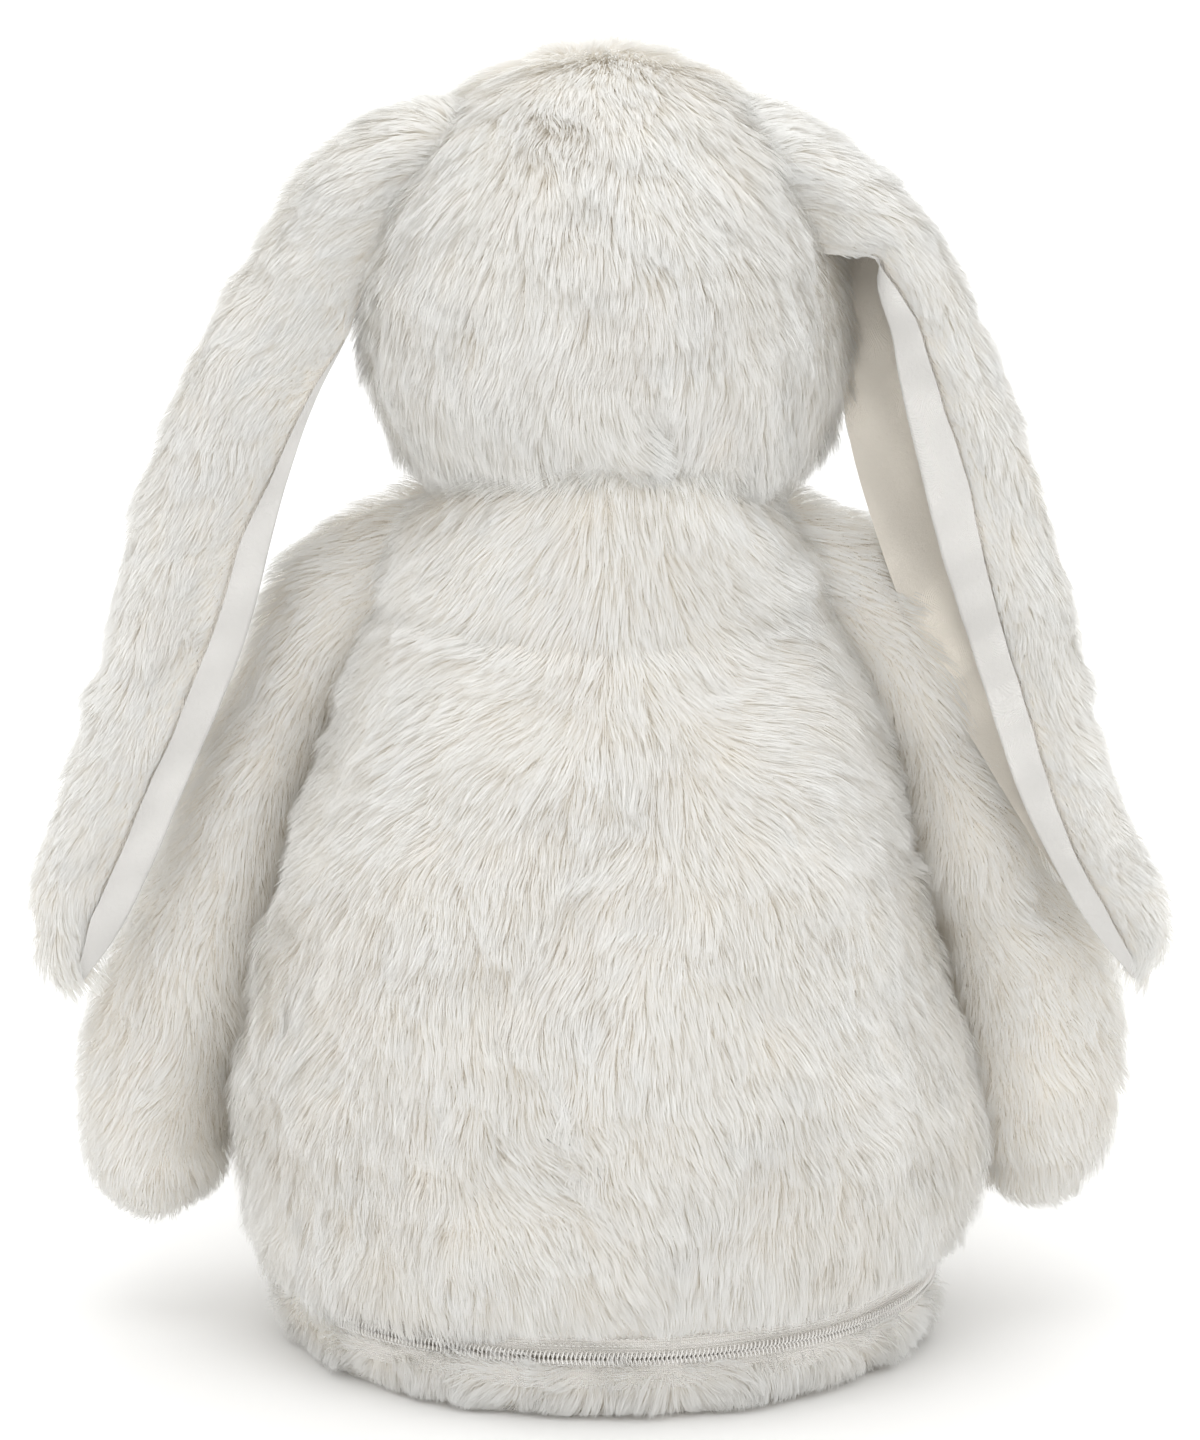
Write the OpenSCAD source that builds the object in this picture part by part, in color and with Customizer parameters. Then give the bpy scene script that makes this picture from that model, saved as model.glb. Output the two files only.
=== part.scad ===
// Plush lop-eared bunny that opens with a zip round its base.
// Millimetres. The bunny sits on z = 0 and faces -Y. Its own left is +X.
// The origin is the middle of the base panel, on the floor.

/* [Fabric] */
// Thickness of the fur fabric, backing and packed pile together
skin_t = 3; // [2:0.5:4]
// Thickness of the inner bags' cloth
liner_t = 1; // [0.6:0.2:1.6]
// Room between one layer and the next
ply_gap = 0.4; // [0.2:0.1:0.8]

/* [Body] */
// Radius of the body where it is widest
body_r = 114; // [98:1:130]
// Height of the widest place
body_wide_z = 55; // [46:1:66]
// Height of the body's top edge
body_top_z = 246; // [215:1:285]
// Radius of the body's top edge
neck_r = 57; // [50:1:64]

/* [Base and zip] */
// Radius at the seam between body and base
seam_r = 101; // [88:1:118]
// Height of that seam
seam_z = 20; // [16:1:26]
// Radius of the flat of the base
base_flat_r = 88; // [74:1:96]
// Bearing from +X at which the zip starts
zip_start = 35; // [20:1:60]
// Angle that the zip runs through
zip_sweep = 158; // [110:1:175]
// Height of the strip of zip that shows
zip_show = 7; // [6:0.5:9]
// Width of one tape
tape_w = 11; // [9:0.5:14]
// Thickness of the tape
tape_t = 0.8; // [0.5:0.1:1.2]
// Radius of each coil's cord
coil_r = 0.8; // [0.6:0.1:1]
// Length of the slider
slider_l = 9; // [7:0.5:11]
// Length of the pull tab
pull_l = 18; // [12:1:26]

/* [Head] */
// Largest radius of the head
head_r = 75; // [64:1:84]
// Height of the head, from its lower edge to its top
head_h = 142; // [120:1:165]
// Room between the body's top edge and the head's lower edge
neck_gap = 12; // [10:1:16]
// Radius of the head's lower edge
head_edge_r = 53; // [44:1:56]
// Height of the neck's turning point above the head's lower edge
neck_pivot_up = 14; // [10:1:20]
// Width of the gusset over the forehead
gusset_w = 38; // [24:1:50]
// Radius of the muzzle
muzzle_r = 27; // [20:1:32]

/* [Eyes] */
// Radius of an eye
eye_r = 7.5; // [5:0.5:10]
// Angle of each eye from the middle of the face
eye_turn = 22; // [16:1:30]
// Radius of the eye's stem
eye_stem_r = 2; // [1.5:0.1:2.5]
// Radius of the lock washer
washer_r = 9; // [7:0.5:11]
// Thickness of the lock washer
washer_t = 1.5; // [1:0.1:2]

/* [Ears] */
// Length of an ear, from its hinge to the middle of its rounded tip
ear_l = 258; // [200:1:280]
// Half the folded width of an ear
ear_half_w = 18.5; // [15:0.5:20]
// Half the folded depth of an ear
ear_half_d = 17; // [12:0.5:20]
// How far the ear leans back
ear_lean = 3; // [0:0.5:6]

/* [Arms and legs] */
// Drop from the shoulder to the middle of the paw
arm_drop = 168; // [140:1:180]
// Half the width of a paw
paw_half_w = 20.5; // [16:0.5:22]
// Half the depth of a paw
paw_half_d = 27; // [20:1:32]
// Half the height of a paw
paw_half_h = 28; // [20:1:32]
// Half the width of a foot
foot_half_w = 27; // [20:1:32]
// Height of a foot
foot_h = 62; // [50:1:72]
// Distance of a foot's middle from the bunny's middle
foot_x = 46; // [38:1:56]

/* [Hidden] */

left = 1;
right = -1;
big = 1200;
steps = 12;
fur = [0.93, 0.91, 0.87];
smooth_cloth = [0.89, 0.88, 0.87];
wadding = [0.97, 0.97, 0.97];
tape_white = [0.95, 0.95, 0.94];

head_edge_z = body_top_z + neck_gap;
head_wide_z = head_edge_z + 0.42 * head_h;
head_top_z = head_edge_z + head_h;
pivot_z = head_edge_z + neck_pivot_up;
// Radius, about the neck's turning point, that holds all of the head below its edge
ball_r = norm([head_edge_r, neck_pivot_up]);
// The neck's stay tape: its thickness, its room round that ball, and the angles it covers below the edge
band_t = 1.2;
band_gap = 0.8;
band_from = 18;
band_to = 30;
socket_r = ball_r + band_gap + band_t + ply_gap;

// Outlines, each a list of [radius, height], taken in by `inset`.
lap_z = seam_z + zip_show / 2 + ply_gap;
body_edge_z = seam_z + ply_gap;
base_edge_z = seam_z - ply_gap;
function rise(z) = (z - body_wide_z) / (body_top_z - body_wide_z);
function body_r_at(z) = neck_r + (body_r - neck_r) * (1 - pow(rise(z), 2));
function body_slope_at(z) = 2 * (body_r - neck_r) * rise(z) / (body_top_z - body_wide_z);
function body_side(inset) = concat(
    [[seam_r - inset, body_edge_z]],
    [for (i = [0 : steps]) let (a = 90 * i / steps)
        [seam_r - inset + (body_r - seam_r) * sin(a), body_wide_z - (body_wide_z - lap_z) * cos(a)]],
    [for (i = [1 : 2 * steps]) let (z = body_wide_z + (body_top_z - body_wide_z) * i / (2 * steps))
        [body_r_at(z) - inset, z]]);
function base_side(inset) =
    [for (i = [0 : steps])
        let (last = asin((base_edge_z - seam_z) / (seam_z - inset)), a = -90 + (90 + last) * i / steps)
        [base_flat_r + (seam_r - base_flat_r - inset) * cos(a), seam_z + (seam_z - inset) * sin(a)]];
function head_side(inset) = concat(
    [for (i = [0 : steps]) let (t = i / steps)
        [head_edge_r - inset + (head_r - head_edge_r) * sin(90 * t),
         head_edge_z + (head_wide_z - head_edge_z) * t]],
    [for (i = [1 : steps]) let (a = 90 * i / steps)
        [(head_r - inset) * cos(a), head_wide_z + (head_top_z - inset - head_wide_z) * sin(a)]]);
function neck_arc(r, low, high) =
    [for (i = [0 : steps]) let (a = low + (high - low) * i / steps) [r * cos(a), pivot_z + r * sin(a)]];
function turned(list) = [for (i = [len(list) - 1 : -1 : 0]) list[i]];

module half_space(v) {
    translate([v[0] * big / 2, v[1] * big / 2, v[2] * big / 2]) cube(big, center = true);
}

module sided(side) {
    if (side == left) children();
    else mirror([1, 0, 0]) children();
}

// ---- Body: back and front fur panels, joined by seams down the two sides ----

module turned_layer(outer, inner) {
    rotate_extrude($fn = 96) polygon(concat(outer, turned(inner)));
}

module body_skin() {
    difference() {
        turned_layer(body_side(0), body_side(skin_t));
        zip_window();
    }
}

module zip_window() {
    rotate_extrude(angle = zip_sweep, start = zip_start, $fn = 96)
        translate([seam_r - 2 * skin_t, seam_z - zip_show / 2]) square([4 * skin_t, zip_show]);
}

module back_panel() {
    color(fur) intersection() {
        body_skin();
        half_space([0, 1, 0]);
    }
}

module tummy_panel() {
    color(fur) intersection() {
        body_skin();
        half_space([0, -1, 0]);
    }
}

// ---- Base: one fur panel, dished, that swings down once the zip is open ----

module base_panel() {
    color(fur) difference() {
        turned_layer(concat([[0, 0]], base_side(0)), concat([[0, skin_t]], base_side(skin_t)));
        zip_window();
    }
}

// ---- Body pod: a tied bag of loose fibre that lifts out through the base ----

plate_t = 1.5;
pod_foot_z = skin_t + ply_gap;
// Room that the pod leaves for the zip and the slider's inner plate
pod_gap = skin_t + tape_t + 2 * ply_gap + plate_t + 0.3;
pod_low_r = min(seam_r, body_r) - pod_gap;

module body_pod_form(inset) {
    side = body_side(skin_t + tape_t + ply_gap + inset);
    difference() {
        rotate_extrude($fn = 96)
            polygon(concat([[0, pod_foot_z + inset]],
                           [[base_flat_r - inset, pod_foot_z + inset]],
                           [[pod_low_r - inset, seam_z - zip_show]],
                           [[pod_low_r - inset, seam_z + tape_w]],
                           [for (p = side) if (p[1] > seam_z + 1.5 * tape_w) p], [[0, body_top_z]]));
        translate([0, 0, pivot_z]) sphere(r = socket_r + inset, $fn = 96);
        translate([0, 0, body_top_z - inset]) cylinder(r = body_r, h = big, $fn = 96);
    }
}

module body_pod_liner() {
    color(tape_white) difference() {
        body_pod_form(0);
        body_pod_form(liner_t);
    }
}

module body_pod_fill() {
    color(wadding) body_pod_form(liner_t);
}

// ---- Zip: two woven tapes, a coil on each, stops, a slider and its pull ----

coil_lift = 2 * coil_r;
coil_ring_r = seam_r - skin_t + coil_r + 0.1;
zip_end = zip_start + zip_sweep;
stop_turn = 0.4;
slider_half_h = zip_show / 2 - ply_gap;
slider_turn = zip_end - 5;
post_inset = 0.6;
plate_r = coil_ring_r + coil_r + ply_gap;
inner_plate_r = seam_r - skin_t - tape_t - ply_gap;
pin_r = 0.7;
pin_ring_r = plate_r + plate_t + 2.2;
lug_t = 0.8;
lug_l = 5.4;
lug_w = 3;
pull_half_h = slider_half_h - lug_t - 0.2;
pull_t = 1.4;

module zip_upper_tape() {
    color(tape_white) intersection() {
        turned_layer(body_side(skin_t), body_side(skin_t + tape_t));
        zip_sector();
        translate([0, 0, seam_z + coil_r]) cylinder(r = big, h = tape_w - coil_r, $fn = 96);
    }
}

module zip_lower_tape() {
    color(tape_white) intersection() {
        turned_layer(base_side(skin_t), base_side(skin_t + tape_t));
        zip_sector();
        translate([0, 0, seam_z - tape_w]) cylinder(r = big, h = tape_w - coil_r, $fn = 96);
    }
}

module zip_sector() {
    rotate_extrude(angle = zip_sweep, start = zip_start, $fn = 96)
        translate([seam_r / 2, 0]) square([seam_r, body_wide_z]);
}

module zip_coil(up) {
    rotate_extrude(angle = zip_sweep - 2, start = zip_start + 1, $fn = 96)
        translate([coil_ring_r, seam_z + up * coil_lift]) circle(r = coil_r, $fn = 24);
}

module zip_upper_coil() {
    color(tape_white) zip_coil(1);
}

module zip_lower_coil() {
    color(tape_white) zip_coil(-1);
}

module zip_end_stops() {
    color(tape_white) for (a = [zip_start + stop_turn, zip_end - stop_turn])
        rotate([0, 0, a]) translate([coil_ring_r, 0, seam_z + coil_lift])
            cube([2 * coil_r, 1, 2 * coil_r], center = true);
}

// The slider's own frame: x outwards from the seam, y along it, z up, at the coils' middle.
module at_slider() {
    rotate([0, 0, slider_turn]) translate([0, 0, seam_z]) children();
}

module slider_plate(r, half_h) {
    intersection() {
        rotate_extrude($fn = 96) translate([r, -half_h]) square([plate_t, 2 * half_h]);
        translate([r, 0, 0]) cube([4 * plate_t, slider_l, 4 * half_h], center = true);
    }
}

module zip_slider() {
    color("silver") at_slider() {
        slider_plate(plate_r, slider_half_h);
        slider_plate(inner_plate_r - plate_t, slider_half_h);
        translate([inner_plate_r - post_inset / 3, post_inset - slider_l / 2, post_inset / 2 - coil_r])
            cube([plate_r - inner_plate_r + post_inset, slider_l / 2, 2 * coil_r - post_inset]);
        for (up = [-1, 1]) translate([pin_ring_r - lug_w / 2, 0, up * (slider_half_h - lug_t / 2)])
            cube([lug_l, lug_w, lug_t], center = true);
        translate([pin_ring_r, 0, -slider_half_h]) cylinder(r = pin_r, h = 2 * slider_half_h, $fn = 32);
    }
}

module zip_pull() {
    eye_r = pin_r + 1;
    color("silver") at_slider() translate([pin_ring_r, 0, -pull_half_h]) difference() {
        union() {
            cylinder(r = eye_r, h = 2 * pull_half_h, $fn = 32);
            translate([eye_r - pull_t, 0, 0]) cube([pull_t, pull_l, 2 * pull_half_h]);
        }
        translate([0, 0, -1]) cylinder(r = pin_r + 0.08, h = 4 * pull_half_h, $fn = 32);
    }
}

// ---- Neck: a stay tape sewn into the neck seam, between body and head ----

module neck_seam_tape() {
    edge_angle = asin(neck_pivot_up / ball_r);
    low = -edge_angle - band_to;
    high = -edge_angle - band_from;
    inner = ball_r + band_gap;
    color(tape_white) turned_layer(neck_arc(inner + band_t, low, high), neck_arc(inner, low, high));
}

// ---- Head: five fur panels over a second pod of fibre ----

eye_z = head_wide_z + 4;
eye_seat_r = head_r - 1;
muzzle_y = -(head_r - 14);
muzzle_z = head_wide_z - 19;
nose_turn = 24;
nose_t = 1.6;
nose_lens_r = 13;
nose_half_h = 6;
thread_r = 0.8;

module head_skin() {
    turned_layer(head_side(0), head_side(skin_t));
}

module at_eye(side) {
    translate([0, 0, eye_z]) rotate([0, 0, -90 + side * eye_turn]) rotate([0, 90, 0]) children();
}

module face_panel(side) {
    difference() {
        intersection() {
            head_skin();
            half_space([0, -1, 0]);
            half_space([side, 0, 0]);
        }
        gusset_block();
        at_eye(side) {
            translate([0, 0, eye_seat_r]) cylinder(r = eye_r + ply_gap, h = 2 * skin_t, $fn = 48);
            cylinder(r = eye_stem_r + 0.1, h = big, $fn = 32);
        }
    }
}

module gusset_block() {
    translate([-gusset_w / 2, -big, muzzle_z + muzzle_r / 2]) cube([gusset_w, big, big]);
}

module head_back_panel() {
    color(fur) intersection() {
        head_skin();
        half_space([0, 1, 0]);
    }
}

module forehead_gusset() {
    color(fur) intersection() {
        head_skin();
        gusset_block();
    }
}

module left_face_panel() {
    color(fur) face_panel(left);
}

module right_face_panel() {
    color(fur) face_panel(right);
}

module head_solid() {
    rotate_extrude($fn = 96) polygon(concat([[0, head_edge_z]], head_side(0)));
}

module muzzle() {
    color(fur) difference() {
        translate([0, muzzle_y, muzzle_z]) sphere(r = muzzle_r, $fn = 64);
        head_solid();
    }
}

module at_nose() {
    translate([0, muzzle_y, muzzle_z]) rotate([90 - nose_turn, 0, 0]) children();
}

module nose_stitching() {
    color("rosybrown") intersection() {
        at_nose() difference() {
            sphere(r = muzzle_r + nose_t, $fn = 64);
            sphere(r = muzzle_r, $fn = 64);
        }
        at_nose() linear_extrude(height = 2 * muzzle_r) intersection_for(up = [-1, 1])
            translate([0, up * (nose_lens_r - nose_half_h)]) circle(r = nose_lens_r, $fn = 64);
    }
}

// One row of stitches round the muzzle, downwards from the angle `start` below forward.
module mouth_line(angle, start) {
    rotate([0, 90, 0]) rotate_extrude(angle = angle, start = start, $fn = 96)
        translate([muzzle_r + thread_r, 0]) circle(r = thread_r, $fn = 24);
}

// Three rows of stitches, each a solid of its own: down from the nose, then out to both sides.
module mouth_stitching() {
    fork = 16;
    top = -9;
    spread = 58;
    branch = 15;
    needle_gap = 2 * asin(thread_r / muzzle_r);
    color("rosybrown") translate([0, muzzle_y, muzzle_z]) {
        mouth_line(fork - top, 270 + top);
        for (side = [left, right]) rotate([fork, 0, 0]) rotate([0, side * spread, 0])
            mouth_line(branch, 270 + needle_gap);
    }
}

module head_pod_form(inset) {
    all = skin_t + ply_gap + inset;
    low_r = ball_r - all;
    difference() {
        union() {
            rotate_extrude($fn = 96) polygon(concat([[0, head_edge_z]], head_side(all)));
            intersection() {
                translate([0, 0, pivot_z]) sphere(r = low_r, $fn = 96);
                translate([0, 0, pivot_z - big]) cylinder(r = head_edge_r - all, h = big, $fn = 96);
            }
        }
        for (side = [left, right]) at_eye(side)
                translate([0, 0, head_r - 5 * skin_t - inset])
                cylinder(r = washer_r + ply_gap + inset, h = big, $fn = 48);
    }
}

module head_pod_liner() {
    color(tape_white) difference() {
        head_pod_form(0);
        head_pod_form(liner_t);
    }
}

module head_pod_fill() {
    color(wadding) head_pod_form(liner_t);
}

module eye(side) {
    dome = eye_r * 1.1;
    drop = sqrt(dome * dome - eye_r * eye_r);
    color("black") at_eye(side) {
        translate([0, 0, eye_seat_r]) intersection() {
            translate([0, 0, -drop]) sphere(r = dome, $fn = 64);
            cylinder(r = big, h = big, $fn = 48);
        }
        translate([0, 0, eye_seat_r - 4 * skin_t]) cylinder(r = eye_stem_r, h = 4 * skin_t + 1, $fn = 32);
    }
}

module left_eye() {
    eye(left);
}

module right_eye() {
    eye(right);
}

module eye_washer(side) {
    sag = head_r - skin_t - sqrt(pow(head_r - skin_t, 2) - washer_r * washer_r);
    washer_z = head_r - skin_t - sag - 2 * ply_gap - washer_t;
    color("white") at_eye(side) translate([0, 0, washer_z]) difference() {
        cylinder(r = washer_r, h = washer_t, $fn = 48);
        translate([0, 0, -1]) cylinder(r = eye_stem_r, h = washer_t + 2, $fn = 32);
    }
}

module left_eye_washer() {
    eye_washer(left);
}

module right_eye_washer() {
    eye_washer(right);
}

// ---- Ears: a fur piece and a smooth lining, folded lengthwise, sewn in at the top ----

ear_hinge = [head_r - 4, 4, head_wide_z + 54];
// The lining fills the front of the fold, from this share of the ear's half depth
lining_from = 0.4;
// Middle line of an ear as [outwards, down, share of the width], in shares of its length
ear_line = [[0, 0, 0.5], [0.08, 0.128, 0.75], [0.162, 0.372, 1], [0.248, 0.64, 0.97], [0.34, 0.944, 0.66]];
// Room between an ear and the arm that it hangs beside
ear_gap = 3;
function ear_out(p) = let (z = ear_hinge[2] - p[1] * ear_l)
    max(p[0] * ear_l, z > shoulder_z ? 0
        : body_r_at(z) + arm_gap + 2 * arm_half_w + ear_gap + p[2] * ear_half_w - ear_hinge[0]);

module ear_form() {
    for (i = [0 : len(ear_line) - 2]) hull() {
        ear_bead(ear_line[i]);
        ear_bead(ear_line[i + 1]);
    }
}

module ear_bead(p) {
    depth = ear_half_d * min(1, p[2] + 0.2);
    translate([ear_out(p), 0, -p[1] * ear_l])
        scale([ear_half_w * p[2], depth, ear_half_w * p[2]]) sphere(r = 1, $fn = 20);
}

module ear_fur(side) {
    color(fur) sided(side) translate(ear_hinge) rotate([ear_lean, 0, 0]) difference() {
        ear_form();
        translate([0, -ear_half_d * lining_from, 0]) half_space([0, -1, 0]);
    }
}

module ear_lining(side) {
    color(smooth_cloth) sided(side) translate(ear_hinge) rotate([ear_lean, 0, 0]) intersection() {
        ear_form();
        translate([0, -ear_half_d * lining_from, 0]) half_space([0, -1, 0]);
    }
}

module left_ear_fur() {
    ear_fur(left);
}

module right_ear_fur() {
    ear_fur(right);
}

module left_ear_lining() {
    ear_lining(left);
}

module right_ear_lining() {
    ear_lining(right);
}

// ---- Arms: flat-cut fur tubes, stuffed for good, sewn into the side seams ----

arm_y = -12;
arm_gap = 4;
// Least room square to the body where it slopes
arm_least_gap = 1.5;
arm_half_w = 15;
shoulder_z = body_top_z - 20;
// Half sizes of the arm at four places, with each one's share of the drop from the shoulder
arm_beads = [[[arm_half_w - 2, 18, 15], 0],
             [[arm_half_w - 1, 21, 18], 0.34],
             [[arm_half_w, 24, 20], 0.66],
             [[paw_half_w, paw_half_d, paw_half_h], 1]];

module arm_bead(bead, inset) {
    half = bead[0];
    z = shoulder_z - bead[1] * arm_drop;
    reach = sqrt(pow(body_r_at(z), 2) - arm_y * arm_y);
    tilt = atan(body_slope_at(z));
    sloped = (norm([half[0] * cos(tilt), half[2] * sin(tilt)]) + arm_least_gap) / cos(tilt);
    translate([reach + max(arm_gap + half[0], sloped), arm_y, z])
        scale(half - [inset, inset, inset]) sphere(r = 1, $fn = 24);
}

module arm_form(inset) {
    for (i = [0 : len(arm_beads) - 2]) hull() {
        arm_bead(arm_beads[i], inset);
        arm_bead(arm_beads[i + 1], inset);
    }
}

module arm_skin(side) {
    color(fur) sided(side) difference() {
        arm_form(0);
        arm_form(skin_t);
    }
}

module arm_stuffing(side) {
    color(wadding) sided(side) arm_form(skin_t + ply_gap);
}

module left_arm_skin() {
    arm_skin(left);
}

module right_arm_skin() {
    arm_skin(right);
}

module left_arm_stuffing() {
    arm_stuffing(left);
}

module right_arm_stuffing() {
    arm_stuffing(right);
}

// ---- Legs: short fur legs at the front, with a smooth pad on each sole ----

hip_r = 22;
hip_z = hip_r + 2;
// The hip tucks in this far under the body's widest place
hip_tuck = 3.5;
hip_reach = hip_r + max(body_r - hip_tuck, seam_r + arm_least_gap);
hip_y = -sqrt(hip_reach * hip_reach - foot_x * foot_x);
toe_y = hip_y - 26;
toe_half_d = 20;
// Where the flat of the sole starts, as a share of that half depth
sole_from = 0.62;

module leg_form(inset) {
    hull() {
        translate([foot_x, hip_y, hip_z]) sphere(r = hip_r - inset, $fn = 24);
        translate([foot_x, toe_y, foot_h / 2])
            scale([foot_half_w - inset, toe_half_d - inset, foot_h / 2 - inset]) sphere(r = 1, $fn = 24);
    }
}

module sole_plane() {
    translate([-big / 2, toe_y - toe_half_d * sole_from - big, -big / 2]) cube(big);
}

module leg_skin(side) {
    color(fur) sided(side) difference() {
        leg_form(0);
        leg_form(skin_t);
        sole_plane();
    }
}

module leg_stuffing(side) {
    color(wadding) sided(side) difference() {
        leg_form(skin_t + ply_gap);
        sole_plane();
    }
}

module sole_pad(side) {
    color(smooth_cloth) sided(side) intersection() {
        leg_form(0);
        sole_plane();
    }
}

module left_leg_skin() {
    leg_skin(left);
}

module right_leg_skin() {
    leg_skin(right);
}

module left_leg_stuffing() {
    leg_stuffing(left);
}

module right_leg_stuffing() {
    leg_stuffing(right);
}

module left_sole_pad() {
    sole_pad(left);
}

module right_sole_pad() {
    sole_pad(right);
}

back_panel();
tummy_panel();
base_panel();
body_pod_liner();
body_pod_fill();
zip_upper_tape();
zip_lower_tape();
zip_upper_coil();
zip_lower_coil();
zip_end_stops();
zip_slider();
zip_pull();
neck_seam_tape();
head_back_panel();
forehead_gusset();
left_face_panel();
right_face_panel();
muzzle();
nose_stitching();
mouth_stitching();
head_pod_liner();
head_pod_fill();
left_eye();
right_eye();
left_eye_washer();
right_eye_washer();
left_ear_fur();
right_ear_fur();
left_ear_lining();
right_ear_lining();
left_arm_skin();
right_arm_skin();
left_arm_stuffing();
right_arm_stuffing();
left_leg_skin();
right_leg_skin();
left_leg_stuffing();
right_leg_stuffing();
left_sole_pad();
right_sole_pad();
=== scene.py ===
"""Looks of a plush lop-eared bunny with a zip round its base, built round its CAD frame."""

import math

import bmesh
import bpy
import numpy as np
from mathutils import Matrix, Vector


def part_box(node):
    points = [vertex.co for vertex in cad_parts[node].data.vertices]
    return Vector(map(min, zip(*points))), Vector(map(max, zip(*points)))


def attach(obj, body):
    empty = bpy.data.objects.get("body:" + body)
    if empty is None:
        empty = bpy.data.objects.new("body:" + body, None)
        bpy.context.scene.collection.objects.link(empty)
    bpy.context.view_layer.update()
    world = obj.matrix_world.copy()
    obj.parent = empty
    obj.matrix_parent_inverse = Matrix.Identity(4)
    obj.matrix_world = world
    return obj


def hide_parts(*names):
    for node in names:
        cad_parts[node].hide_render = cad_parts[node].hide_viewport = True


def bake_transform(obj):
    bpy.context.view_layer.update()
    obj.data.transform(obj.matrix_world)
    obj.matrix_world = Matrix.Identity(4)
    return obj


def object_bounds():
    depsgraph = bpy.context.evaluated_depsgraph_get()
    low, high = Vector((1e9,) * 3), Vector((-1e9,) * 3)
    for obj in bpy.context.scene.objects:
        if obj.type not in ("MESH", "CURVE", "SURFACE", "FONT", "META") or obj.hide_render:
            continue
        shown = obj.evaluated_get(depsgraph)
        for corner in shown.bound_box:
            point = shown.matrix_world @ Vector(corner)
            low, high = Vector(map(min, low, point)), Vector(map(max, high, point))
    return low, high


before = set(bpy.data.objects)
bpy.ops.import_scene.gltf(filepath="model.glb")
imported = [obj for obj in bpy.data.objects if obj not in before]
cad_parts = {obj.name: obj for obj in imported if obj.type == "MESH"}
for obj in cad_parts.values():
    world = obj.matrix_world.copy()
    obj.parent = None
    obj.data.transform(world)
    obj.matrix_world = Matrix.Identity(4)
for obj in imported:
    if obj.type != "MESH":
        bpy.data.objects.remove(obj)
cad_box = [list(corner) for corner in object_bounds()]

# ---- Table, lamps and camera ----
# The bunny sits on a plain white table under large soft lamps. The camera stands behind it and
# a little above, on a long lens, so that the whole back shows with hardly any perspective.

TABLE_SIZE = 8.0
TABLE_WHITE = (0.82, 0.82, 0.815, 1)
BACKDROP_WHITE = (1, 0.998, 0.992, 1)
BACKDROP_DIM, BACKDROP_BRIGHT = 0.99, 1.56
EYE_DISTANCE = 4.0
EYE_RISE = 15
LENS_MM = 334
FILM_MM = 36

tall = cad_box[1][2]
scene = bpy.context.scene
scene.view_settings.view_transform = "Standard"

bpy.ops.mesh.primitive_plane_add(size=TABLE_SIZE, location=(0, 0, 0))
table_top = bpy.context.object
table_top.name = "table_top"
table_paint = bpy.data.materials.new("table_paint")
table_paint.use_nodes = True
paint_shader = table_paint.node_tree.nodes["Principled BSDF"]
paint_shader.inputs["Base Color"].default_value = TABLE_WHITE
paint_shader.inputs["Roughness"].default_value = 0.7
table_top.data.materials.append(table_paint)

sky = bpy.data.worlds.new("studio_white")
sky.use_nodes = True
backdrop = sky.node_tree.nodes["Background"]
backdrop.inputs["Color"].default_value = BACKDROP_WHITE
way_up = sky.node_tree.nodes.new("ShaderNodeSeparateXYZ")
brighter = sky.node_tree.nodes.new("ShaderNodeMapRange")
brighter.inputs["To Min"].default_value = BACKDROP_DIM
brighter.inputs["To Max"].default_value = BACKDROP_BRIGHT
for source, socket in (
    (sky.node_tree.nodes.new("ShaderNodeTexCoord").outputs["Generated"], way_up.inputs[0]),
    (way_up.outputs["Z"], brighter.inputs["Value"]),
    (brighter.outputs[0], backdrop.inputs["Strength"]),
):
    sky.node_tree.links.new(source, socket)
scene.world = sky


def soft_lamp(name, place, size, watts):
    """A round lamp turned to the middle of the bunny."""
    lamp = bpy.data.lights.new(name, "AREA")
    lamp.shape = "DISK"
    lamp.size = size
    lamp.energy = watts
    holder = bpy.data.objects.new(name, lamp)
    holder.location = place
    holder.rotation_mode = "QUATERNION"
    holder.rotation_quaternion = (Vector((0, 0, 0.2)) - Vector(place)).to_track_quat("-Z", "Y")
    scene.collection.objects.link(holder)


soft_lamp("overhead_lamp", (0.1, 0.6, 2.2), 1.6, 8)
soft_lamp("camera_side_lamp", (0.5, 2.4, 1.3), 1.4, 4)
soft_lamp("face_side_lamp", (-0.6, -2.2, 1.3), 1.4, 4)

look_at = Vector((0.0015, 0, 0.4725 * tall))
rise = math.radians(EYE_RISE)
camera = bpy.data.objects.new("camera", bpy.data.cameras.new("camera"))
camera.data.lens = LENS_MM
camera.data.sensor_width = FILM_MM
camera.location = look_at + EYE_DISTANCE * Vector((0, math.cos(rise), math.sin(rise)))
camera.rotation_mode = "QUATERNION"
camera.rotation_quaternion = (look_at - camera.location).to_track_quat("-Z", "Y")
scene.collection.objects.link(camera)
scene.camera = camera

# ---- Body cover ----
# Two panels of long-pile fur fabric, a back and a tummy, sewn together down both sides and
# stuffed round by the fibre bag inside. The pile is combed down and lies in soft tufts.

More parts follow.
